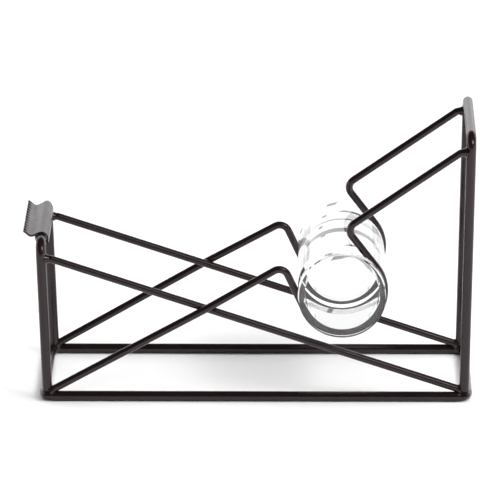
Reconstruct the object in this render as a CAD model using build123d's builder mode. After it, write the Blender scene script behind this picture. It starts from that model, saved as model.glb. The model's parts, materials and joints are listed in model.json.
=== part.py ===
"""Wire desk tape dispenser: a welded wire frame, a toothed cutter and a lift-out acrylic spool.

Millimetres.  X runs from the cutter (left) to the tall end, Y is the width of the tape, Z is up.
The frame stands on Z = 0 and its mid plane is Y = 0.
"""
from build123d import *
from math import asin, atan2, cos, hypot, radians, sin, tan
import os

# ---------------------------------------------------------------- driving dimensions
thick_d = 2.8             # wire of the base loop and of the two hoops, painted
thin_d = 2.1              # wire of the braces and of the cradles, painted

post_gap = 118.5          # between the two hoops at their feet
post_y = 18.9             # a post's centre from the mid plane
rail_y = 19.3             # a base rail's centre from the mid plane
side_out = 0.95           # how far the base loop's end bars stand outside the posts
base_corner_r = 3.0       # bend radius of the base loop, on the wire's centre line

short_bar_z = 46.65       # height of the cutter hoop's top bar
short_lean = 1.7          # outward lean of the cutter hoop, degrees
tall_bar_z = 78.3         # height of the tall hoop's top bar
tall_lean = 0.9           # outward lean of the tall hoop, degrees
hoop_bend_r = 3.5         # bend radius at the top of a hoop
post_seat = 0.4           # a post ends this far above the centre of the wire it stands on

wire_offset = 0.3         # braces sit this far inside the post plane, cradles as far outside
contact_gap = 0.02        # paint line between two pieces that a weld holds together
brace_left_z = 42.9       # height of a brace's centre line at X = 0
brace_right_z = 2.9       # and at the tall hoop's foot
tail = 1.4                # straight end of a wire that runs level into a post
tail_bend_r = 2.0

spool_x = 83.7            # axis of the spool
spool_z = 32.95
spool_d = 25.0            # a 25.4 mm tape core slides over it
spool_half = 23.2         # half of the spool's length
spool_chamfer = 0.35
groove_r = 10.5           # radius at the bottom of a groove
groove_inner = 15.4       # inner and outer wall of a groove, from the spool's middle
groove_outer = 20.5

saddle_r = 12.0           # centre line of the cradle wire under the spool
saddle_rise = 0.3         # the saddle's centre above the spool's axis: the spool rests at the bottom
cradle_foot_z = 2.4       # height of the cradle wire at the cutter hoop's foot
apex_x = 67.1             # corner where the cradle wire turns down to the spool
apex_z = 40.7
kink_x = 84.8             # corner where it turns out to the tall hoop
kink_z = 51.75
cradle_right_z = 75.4     # height of the upper run's line at X = post_gap
cradle_bend_r = 2.7
bow_r = 40.0              # gentle bow of the cradle wire where it passes over the brace
crossing_gap = 0.1        # between the two at the corner of the bow, which the bend itself cuts to 0.06

blade_t = 0.6             # sheet of the cutter
teeth = 12                # notches in the cutter's edge
tooth_pitch = 2.2
tooth_depth = 1.4
tooth_flat = 0.12         # width of a tooth's tip
blade_leg = 1.4           # the cutter's rear leg ends this far below the bar's centre
blade_valley = (-3.0, 0.55)   # corner of the cutter's trough, from the bar's centre, as X, Z
blade_tip = (-5.1, 2.3)       # middle of the toothed edge, from the bar's centre, as X, Z
blade_trough_r = 1.2

fillet_start = 0.5        # a weld fillet starts this far inside the surface that it lies on
fillet_reach = 0.8        # and reaches this far along the wire
fillet_grow = 0.55        # how much thicker than the wire it starts
feather = 0.06            # and how much thicker it ends
crossing_r = 1.0          # weld between a brace and a cradle

# ---------------------------------------------------------------- worked-out sizes
thick_r = thick_d / 2
thin_r = thin_d / 2
base_z = thick_r
brace_y = post_y - wire_offset
cradle_y = post_y + wire_offset
blade_w = teeth * tooth_pitch

os.makedirs("parts", exist_ok=True)
pieces = {}


def save(name, part):
    """Labels a finished piece and writes its STEP file."""
    part.label = name
    pieces[name] = part
    export_step(part, f"parts/{name}.step")


def post_x(foot_x, lean, height):
    """X of a leaning post's centre at a height."""
    return foot_x + tan(radians(lean)) * (height - base_z)


short_x = post_x(0, -short_lean, short_bar_z)


# ---------------------------------------------------------------- base loop
with BuildPart() as base_loop:
    middle = post_gap / 2
    x_max = post_gap + side_out
    with BuildLine(Plane.XY.offset(base_z)) as loop_line:
        FilletPolyline(
            (middle, -rail_y),
            (x_max, -rail_y),
            (x_max, rail_y),
            (middle, rail_y),
            radius=base_corner_r,
        )
    with BuildSketch(Plane((middle, -rail_y, base_z), z_dir=(1, 0, 0))):
        Circle(thick_r)
    sweep(path=loop_line.wires()[0])
    mirror(about=Plane.YZ.offset(middle))
save("base_loop", base_loop.part)


# ---------------------------------------------------------------- the two hoops
def hoop(foot_x, lean, bar_z):
    """An upside-down U that stands on the base loop and leans by an angle about Y."""
    up = Vector(sin(radians(lean)), 0, cos(radians(lean)))
    across = Vector(0, 1, 0)
    hoop_plane = Plane((foot_x, 0, base_z), x_dir=across, z_dir=across.cross(up))
    height = (bar_z - base_z) / cos(radians(lean))
    with BuildPart() as bent:
        with BuildLine(hoop_plane) as bent_line:
            FilletPolyline(
                (-post_y, post_seat),
                (-post_y, height),
                (post_y, height),
                (post_y, post_seat),
                radius=hoop_bend_r,
            )
        start = hoop_plane.from_local_coords((-post_y, post_seat, 0))
        with BuildSketch(Plane(start, z_dir=up)):
            Circle(thick_r)
        sweep(path=bent_line.wires()[0])
        add(base_loop.part, mode=Mode.SUBTRACT)
    return bent.part


cutter_hoop = hoop(0, -short_lean, short_bar_z)
tall_hoop = hoop(post_gap, tall_lean, tall_bar_z)
save("cutter_hoop", cutter_hoop)
save("tall_hoop", tall_hoop)


# ---------------------------------------------------------------- braces
brace_slope = (brace_right_z - brace_left_z) / post_gap


def brace_z(x):
    """Height of the brace's sloping line."""
    return brace_left_z + brace_slope * x


brace_top = post_x(0, -short_lean, brace_left_z)
brace_knee = brace_top + thick_r + tail


def brace(side):
    """A straight wire from high on the cutter hoop down to the tall hoop's foot."""
    y = side * brace_y
    start = Vector(brace_top, y, brace_z(brace_knee))
    knee = Vector(brace_knee, y, brace_z(brace_knee))
    end = Vector(post_gap, y, brace_right_z)
    with BuildPart() as rod:
        with BuildLine() as rod_line:
            FilletPolyline(start, knee, end, radius=tail_bend_r)
        with BuildSketch(Plane(start, z_dir=knee - start)):
            Circle(thin_r)
        sweep(path=rod_line.wires()[0])
        for neighbour in (base_loop.part, cutter_hoop, tall_hoop):
            add(neighbour, mode=Mode.SUBTRACT)
    return rod.part


# ---------------------------------------------------------------- cradles
saddle_z = spool_z + saddle_rise
lower_slope = (apex_z - cradle_foot_z) / apex_x
upper_slope = (cradle_right_z - kink_z) / (post_gap - kink_x)
cross_x = (brace_left_z - cradle_foot_z) / (lower_slope - brace_slope)
cross_z = brace_z(cross_x)
cross_y = brace_y + thin_d + crossing_gap


def saddle_touch(x, z, turn):
    """Angle about the spool at which a line from (x, z) touches the saddle's circle."""
    away = atan2(z - saddle_z, x - spool_x)
    opening = atan2((hypot(x - spool_x, z - saddle_z) ** 2 - saddle_r ** 2) ** 0.5, saddle_r)
    return away + turn * opening


def saddle_point(angle, y):
    """A point of the saddle's centre line."""
    return Vector(spool_x + saddle_r * cos(angle), y, saddle_z + saddle_r * sin(angle))


left_touch = saddle_touch(apex_x, apex_z, 1)
right_touch = saddle_touch(kink_x, kink_z, -1)
cradle_top_z = kink_z + upper_slope * (post_x(post_gap, tall_lean, tall_bar_z) - kink_x - thick_r - tail)
cradle_top = post_x(post_gap, tall_lean, cradle_top_z)
cradle_knee = cradle_top - thick_r - tail


def cradle(side):
    """The bent wire that carries one groove of the spool, from foot to top in one length."""
    y = side * cradle_y
    foot = Vector(0, y, cradle_foot_z)
    over_brace = Vector(cross_x, side * cross_y, cross_z)
    with BuildPart() as rod:
        with BuildLine() as rod_line:
            FilletPolyline(
                foot,
                over_brace,
                Vector(apex_x, y, apex_z),
                saddle_point(left_touch, y),
                radius=[bow_r, cradle_bend_r],
            )
            ThreePointArc(
                saddle_point(left_touch, y),
                saddle_point(radians(-90), y),
                saddle_point(right_touch, y),
            )
            FilletPolyline(
                saddle_point(right_touch, y),
                Vector(kink_x, y, kink_z),
                Vector(cradle_knee, y, cradle_top_z),
                Vector(cradle_top, y, cradle_top_z),
                radius=[cradle_bend_r, tail_bend_r],
            )
        with BuildSketch(Plane(foot, z_dir=over_brace - foot)):
            Circle(thin_r)
        sweep(path=rod_line.wires()[0])
        for neighbour in (base_loop.part, cutter_hoop, tall_hoop):
            add(neighbour, mode=Mode.SUBTRACT)
    return rod.part


sides = {"front": -1, "back": 1}
for side_name, side in sides.items():
    save(f"{side_name}_brace", brace(side))
    save(f"{side_name}_cradle", cradle(side))


# ---------------------------------------------------------------- cutter
wrap_r = thick_r + contact_gap + blade_t / 2
profile_plane = Plane((short_x, 0, short_bar_z), x_dir=(1, 0, 0), z_dir=(0, -1, 0))
valley = Vector(*blade_valley)
tip = Vector(*blade_tip)
rake = (tip - valley).normalized()
leave = asin(wrap_r / valley.length) - atan2(valley.Y, -valley.X)
lift_off = (-wrap_r * sin(leave), wrap_r * cos(leave))

with BuildPart() as cutter_blade:
    with BuildSketch(profile_plane):
        with BuildLine():
            Line((wrap_r, -blade_leg), (wrap_r, 0))
            ThreePointArc((wrap_r, 0), (wrap_r * cos(radians(45)), wrap_r * sin(radians(45))), lift_off)
            FilletPolyline(lift_off, blade_valley, blade_tip, radius=blade_trough_r)
        trace(line_width=blade_t)
    extrude(amount=blade_w / 2, both=True)
    edge_middle = (short_x + tip.X, 0, short_bar_z + tip.Y)
    notch_mouth = tooth_pitch - tooth_flat
    with BuildSketch(Plane(edge_middle, x_dir=(0, 1, 0), z_dir=(rake.Y, 0, -rake.X))):
        with GridLocations(tooth_pitch, tooth_pitch, teeth, 1):
            # twice the notch: its upper half lies beyond the edge
            Polygon(
                (0, -tooth_depth),
                (notch_mouth, tooth_depth),
                (-notch_mouth, tooth_depth),
                align=None,
            )
    extrude(amount=blade_t, both=True, mode=Mode.SUBTRACT)
save("cutter_blade", cutter_blade.part)


# ---------------------------------------------------------------- spool
groove_middle = (groove_inner + groove_outer) / 2
groove_width = groove_outer - groove_inner

with BuildPart() as spool:
    with BuildSketch(Plane((spool_x, 0, spool_z), x_dir=(1, 0, 0), z_dir=(0, 0, 1))):
        Rectangle(spool_d / 2, 2 * spool_half, align=(Align.MIN, Align.CENTER))
        with Locations((groove_r, -groove_middle), (groove_r, groove_middle)):
            Rectangle(spool_d, groove_width, align=(Align.MIN, Align.CENTER), mode=Mode.SUBTRACT)
    revolve(axis=Axis((spool_x, 0, spool_z), (0, 1, 0)))
    rims = spool.edges().filter_by(GeomType.CIRCLE).group_by(Axis.Y)
    chamfer(rims[0] + rims[-1], length=spool_chamfer)
save("spool", spool.part)


# ---------------------------------------------------------------- weld fillets
frame_wires = [base_loop.part, cutter_hoop, tall_hoop]
frame_wires += [pieces[f"{side_name}_{kind}"] for side_name in sides for kind in ("brace", "cradle")]


def fillets(name, joints, wire_r, neighbours):
    """One weld fillet round each joint: a collar that thins along the wire, cut to fit its neighbours.

    A joint is the point where the collar starts and the direction that it runs in.
    """
    with BuildPart() as beads:
        for point, direction in joints:
            with Locations(Plane(point, z_dir=direction)):
                Cone(
                    bottom_radius=wire_r + fillet_grow,
                    top_radius=wire_r + feather,
                    height=fillet_start + fillet_reach,
                    align=(Align.CENTER, Align.CENTER, Align.MIN),
                )
        for neighbour in neighbours:
            add(neighbour, mode=Mode.SUBTRACT)
    save(name, beads.part)


def along(start, end, distance):
    """A point at a distance from start towards end, and the direction from start to end."""
    direction = (end - start).normalized()
    return start + direction * distance, direction


def foot_joints(foot_x, lean):
    """The two places where a hoop stands on the base loop."""
    up = Vector(sin(radians(lean)), 0, cos(radians(lean)))
    return [(Vector(foot_x, y, base_z) + up * post_seat, up) for y in (-post_y, post_y)]


def brace_joints(at_top):
    """The ends of both braces, at the cutter hoop or at the tall hoop's foot."""
    joints = []
    for side in sides.values():
        y = side * brace_y
        if at_top:
            start = Vector(brace_top, y, brace_z(brace_knee))
            joints.append(along(start, start + Vector(1, 0, 0), thick_r - fillet_start))
        else:
            start = Vector(post_gap, y, brace_right_z)
            knee = Vector(brace_knee, y, brace_z(brace_knee))
            joints.append(along(start, knee, thick_r - fillet_start))
    return joints


def cradle_joints(at_top):
    """The ends of both cradles, at the tall hoop or at the cutter hoop's foot."""
    joints = []
    for side in sides.values():
        y = side * cradle_y
        if at_top:
            start = Vector(cradle_top, y, cradle_top_z)
            joints.append(along(start, start - Vector(1, 0, 0), thick_r - fillet_start))
        else:
            start = Vector(0, y, cradle_foot_z)
            over_brace = Vector(cross_x, side * cross_y, cross_z)
            joints.append(along(start, over_brace, thick_r - fillet_start))
    return joints


def blade_joints():
    """The two ends of the cutter, where it is welded round its bar."""
    ends = []
    for side in sides.values():
        point = Vector(short_x, side * (blade_w / 2 - fillet_start), short_bar_z)
        ends.append((point, Vector(0, side, 0)))
    return ends


fillets("cutter_hoop_foot_welds", foot_joints(0, -short_lean), thick_r, frame_wires)
fillets("tall_hoop_foot_welds", foot_joints(post_gap, tall_lean), thick_r, frame_wires)
fillets("brace_top_welds", brace_joints(True), thin_r, frame_wires)
fillets("brace_foot_welds", brace_joints(False), thin_r, frame_wires + [pieces["tall_hoop_foot_welds"]])
fillets("cradle_top_welds", cradle_joints(True), thin_r, frame_wires)
fillets("cradle_foot_welds", cradle_joints(False), thin_r, frame_wires + [pieces["cutter_hoop_foot_welds"]])
fillets("blade_welds", blade_joints(), thick_r, frame_wires + [cutter_blade.part])

crossing_weld_y = brace_y + thin_r + contact_gap / 2
with BuildPart() as crossing_welds:
    with Locations(*[(cross_x, side * crossing_weld_y, cross_z) for side in sides.values()]):
        Sphere(crossing_r)
    for neighbour in frame_wires:
        add(neighbour, mode=Mode.SUBTRACT)
save("crossing_welds", crossing_welds.part)
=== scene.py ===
"""Wire desk tape dispenser: materials, stage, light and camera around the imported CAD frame."""
import json
import math

import bpy
from mathutils import Matrix, Vector

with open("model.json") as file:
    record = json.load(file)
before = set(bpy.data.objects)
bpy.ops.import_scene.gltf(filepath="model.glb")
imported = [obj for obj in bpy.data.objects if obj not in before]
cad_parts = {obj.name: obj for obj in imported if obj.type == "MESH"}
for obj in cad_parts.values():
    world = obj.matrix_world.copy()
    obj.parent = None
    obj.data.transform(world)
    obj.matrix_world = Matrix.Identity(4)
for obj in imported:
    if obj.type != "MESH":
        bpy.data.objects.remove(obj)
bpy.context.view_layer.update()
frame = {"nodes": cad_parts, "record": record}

# Camera, in metres and degrees.  It looks along +Y, down on the dispenser, through a long lens.
CAMERA_AT = Vector((0.0743, -1.2682, 0.4828))
CAMERA_DOWN = math.radians(19.3)
CAMERA_YAW = math.radians(0.76)        # turned to the left
CAMERA_ROLL = math.radians(0.15)
SENSOR = 36.0                          # mm
FOCAL = 9.402 * SENSOR                 # mm, a focal length of 9.402 picture widths

# Stage and light.
MIDDLE = (0.06, 0.0, 0.03)             # the point that the lights shine on
LIGHT_DISTANCE = 1.2
FLOOR_SIZE = 8.0
FLOOR_WHITE = (0.92, 0.92, 0.92, 1.0)
FLOOR_ROUGHNESS = 0.7
OVERHEAD_POWER = 13.0                  # W
KEY_POWER = 9.0
STRIP_POWER = 1.9
GLINT_POWER = 3.0
SWEEP = 1.65                            # radiance of the white sweep
ROOM = 0.05                            # radiance of the dark room
THROUGH = 1.0                          # radiance of the surroundings that show through the acrylic
DARK_TILT = math.radians(15)           # the dark room's middle, from straight up towards the camera
DARK_EDGE = math.radians(68)           # and its half width
DARK_SOFT = math.radians(10)            # width of the blend to the sweep

# Materials.
WARM_TINT = (1.0, 0.84, 0.88, 1.0)     # of the paint's reflections
PAINT_BASE = 0.005                     # linear grey
PAINT_ROUGHNESS = 0.2
BLADE_BASE = 0.007
BLADE_ROUGHNESS = 0.3
ACRYLIC_TINT = (0.95, 0.955, 0.955, 1.0)
ACRYLIC_IOR = 1.49
ACRYLIC_HAZE = 0.008                   # roughness where it is least polished


# ---------------------------------------------------------------- node helpers
def new_material(name):
    """A material with an empty node tree but for its Principled shader and output."""
    material = bpy.data.materials.new(name)
    material.use_nodes = True
    tree = material.node_tree
    shader = tree.nodes["Principled BSDF"]
    return material, tree, shader


def add_node(tree, kind, **settings):
    """A new node; settings name its attributes, or its inputs where no attribute has the name."""
    node = tree.nodes.new(kind)
    for key, value in settings.items():
        if hasattr(node, key):
            setattr(node, key, value)
        else:
            node.inputs[key.replace("_", " ")].default_value = value
    return node


def ramp(tree, source, stops):
    """A colour ramp over a 0 to 1 source; stops are (place, colour) pairs."""
    node = tree.nodes.new("ShaderNodeValToRGB")
    elements = node.color_ramp.elements
    while len(elements) < len(stops):
        elements.new(0.5)
    for element, (place, colour) in zip(elements, stops):
        element.position = place
        element.color = colour
    tree.links.new(source, node.inputs["Fac"])
    return node.outputs["Color"]


def grey(value, warm=0.0):
    """A linear grey, with more red in it when warm."""
    return (value * (1 + warm), value, value, 1.0)


# ---------------------------------------------------------------- materials
def powder_coat(name, base, roughness):
    """Satin black powder coat: fine orange peel, a little uneven colour and gloss."""
    material, tree, shader = new_material(name)
    place = add_node(tree, "ShaderNodeTexCoord").outputs["Object"]
    cloud = add_node(tree, "ShaderNodeTexNoise", Scale=180.0, Detail=3.0)
    tree.links.new(place, cloud.inputs["Vector"])
    colour = ramp(tree, cloud.outputs["Fac"], [(0.3, grey(base * 0.85, 0.7)), (0.7, grey(base * 1.15, 0.6))])
    tree.links.new(colour, shader.inputs["Base Color"])
    gloss = ramp(tree, cloud.outputs["Fac"], [(0.3, grey(roughness * 0.85)), (0.7, grey(roughness * 1.15))])
    tree.links.new(gloss, shader.inputs["Roughness"])
    peel = add_node(tree, "ShaderNodeTexNoise", Scale=1400.0, Detail=2.0)
    tree.links.new(place, peel.inputs["Vector"])
    bump = add_node(tree, "ShaderNodeBump", Strength=0.12, Distance=0.0002)
    tree.links.new(peel.outputs["Fac"], bump.inputs["Height"])
    tree.links.new(bump.outputs["Normal"], shader.inputs["Normal"])
    shader.inputs["Specular Tint"].default_value = WARM_TINT
    return material


def clear_acrylic():
    """Polished clear acrylic with a very faint, uneven haze."""
    material, tree, shader = new_material("clear_acrylic")
    shader.inputs["Base Color"].default_value = ACRYLIC_TINT
    shader.inputs["Transmission Weight"].default_value = 1.0
    shader.inputs["IOR"].default_value = ACRYLIC_IOR
    place = add_node(tree, "ShaderNodeTexCoord").outputs["Object"]
    haze = add_node(tree, "ShaderNodeTexNoise", Scale=90.0, Detail=4.0)
    tree.links.new(place, haze.inputs["Vector"])
    gloss = ramp(tree, haze.outputs["Fac"], [(0.35, grey(0.0)), (0.75, grey(ACRYLIC_HAZE))])
    tree.links.new(gloss, shader.inputs["Roughness"])
    return material


MATERIALS = {
    "paint": powder_coat("black_powder_coat", PAINT_BASE, PAINT_ROUGHNESS),
    "blade_paint": powder_coat("blade_powder_coat", BLADE_BASE, BLADE_ROUGHNESS),
    "acrylic": clear_acrylic(),
}
for entry in frame["record"]["subparts"]:
    node = frame["nodes"][entry["node"]]
    node.data.materials.clear()
    node.data.materials.append(MATERIALS[entry["material_slot"]])


# ---------------------------------------------------------------- stage, light, camera
def floor():
    """A plain white table top."""
    bpy.ops.mesh.primitive_plane_add(size=FLOOR_SIZE, location=(0, 0, 0))
    top = bpy.context.object
    top.name = "floor"
    material, tree, shader = new_material("white_floor")
    shader.inputs["Base Color"].default_value = FLOOR_WHITE
    shader.inputs["Roughness"].default_value = FLOOR_ROUGHNESS
    top.data.materials.append(material)


def softbox(name, towards_light, size, power, in_reflections):
    """A rectangular area light that shines on the dispenser and never shows through the acrylic."""
    data = bpy.data.lights.new(name, "AREA")
    data.shape = "RECTANGLE"
    data.size, data.size_y = size
    data.energy = power
    light = bpy.data.objects.new(name, data)
    direction = Vector(towards_light).normalized()
    light.location = Vector(MIDDLE) + direction * LIGHT_DISTANCE
    light.rotation_euler = (-direction).to_track_quat("-Z", "Y").to_euler()
    light.visible_glossy = in_reflections
    light.visible_transmission = False
    bpy.context.collection.objects.link(light)


def studio():
    """The surroundings.

    The paint reflects a bright sweep low down and behind, and a dark room in front and above.  The acrylic
    shows one plain bright surround instead.
    """
    world = bpy.data.worlds.new("studio")
    bpy.context.scene.world = world
    world.use_nodes = True
    tree = world.node_tree
    away = tree.nodes.new("ShaderNodeTexCoord").outputs["Generated"]
    dark = tree.nodes.new("ShaderNodeVectorMath")
    dark.operation = "DOT_PRODUCT"
    dark.inputs[1].default_value = (0, -math.sin(DARK_TILT), math.cos(DARK_TILT))
    tree.links.new(away, dark.inputs[0])
    bright_end = math.cos(DARK_EDGE + DARK_SOFT)
    dark_start = math.cos(DARK_EDGE)
    stops = [(0.0, grey(SWEEP)), (bright_end, grey(SWEEP)), (dark_start, grey(ROOM)), (1.0, grey(ROOM))]
    reflected = ramp(tree, dark.outputs["Value"], stops)
    path = tree.nodes.new("ShaderNodeLightPath")
    light = tree.nodes.new("ShaderNodeMixRGB")
    light.inputs["Color2"].default_value = grey(THROUGH)
    tree.links.new(path.outputs["Is Transmission Ray"], light.inputs["Fac"])
    tree.links.new(reflected, light.inputs["Color1"])
    tree.links.new(light.outputs["Color"], tree.nodes["Background"].inputs["Color"])


def camera():
    """The camera at the photograph's viewing angle."""
    data = bpy.data.cameras.new("camera")
    data.sensor_width = SENSOR
    data.lens = FOCAL
    data.clip_start = 0.01
    data.clip_end = 30.0
    view = bpy.data.objects.new("camera", data)
    forward = Vector((
        -math.sin(CAMERA_YAW) * math.cos(CAMERA_DOWN),
        math.cos(CAMERA_YAW) * math.cos(CAMERA_DOWN),
        -math.sin(CAMERA_DOWN),
    ))
    turn = forward.to_track_quat("-Z", "Y").to_matrix().to_4x4()
    view.matrix_world = Matrix.Translation(CAMERA_AT) @ turn @ Matrix.Rotation(-CAMERA_ROLL, 4, "Z")
    bpy.context.collection.objects.link(view)
    bpy.context.scene.camera = view


floor()
softbox("overhead", (0.0, 0.1, 1.0), (1.6, 1.6), OVERHEAD_POWER, False)
softbox("key", (0.85, -0.2, 0.8), (0.7, 0.7), KEY_POWER, False)
softbox("strip", (0.4, -0.58, 0.73), (0.3, 0.5), STRIP_POWER, True)
softbox("glint", (0.65, -0.55, 0.73), (0.2, 0.2), GLINT_POWER, True)
studio()
camera()
bpy.context.scene.view_settings.view_transform = "Standard"
